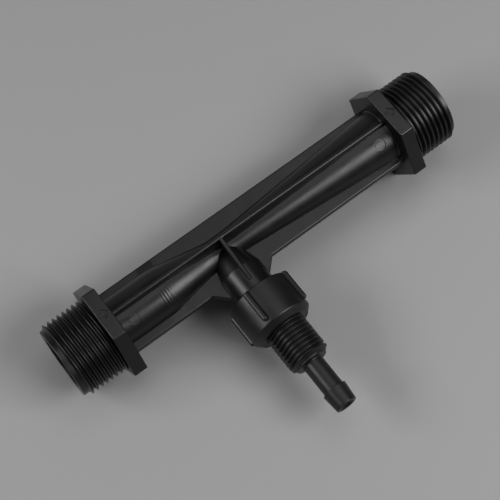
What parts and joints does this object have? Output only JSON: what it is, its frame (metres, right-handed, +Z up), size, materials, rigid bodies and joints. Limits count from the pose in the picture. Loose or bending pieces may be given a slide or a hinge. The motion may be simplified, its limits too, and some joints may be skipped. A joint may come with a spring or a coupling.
{
  "type": "venturi fertilizer injector",
  "caption": "Plastic venturi injector: ribbed tube with a narrow throat between threaded pipe ends, and a screw-on suction cap with ball valve, nose thread and hose barb.",
  "frame": {"origin": "centre of the inlet mouth, on the flow axis in the plane of the inlet's end face", "axes": "+X along the flow from inlet to outlet, -Y the way the suction stub and its cap point, +Z up, with the level flats of both hexagons below"},
  "size_m": [0.1476, 0.0815, 0.03],
  "materials": {
    "body_plastic": "satin black moulded plastic",
    "cap_plastic": "satin black moulded plastic",
    "seal_rubber": "dull black rubber",
    "ball_plastic": "smooth off-white plastic",
    "spring_steel": "drawn stainless wire"
  },
  "bodies": {
    "injector": {"venturi_body": "body_plastic", "suction_cap": "cap_plastic", "seal_ring": "seal_rubber", "check_spring": "spring_steel"},
    "valve_ball": {"check_ball": "ball_plastic"}
  },
  "joints": [
    {"name": "ball_lift", "type": "slide", "parent": "injector", "child": "valve_ball", "axis": [0, 1, 0], "range_m": [0, 0.003], "stiffness_N_per_m": 40, "springref_m": -0.002, "deforming": ["check_spring"]}
  ]
}
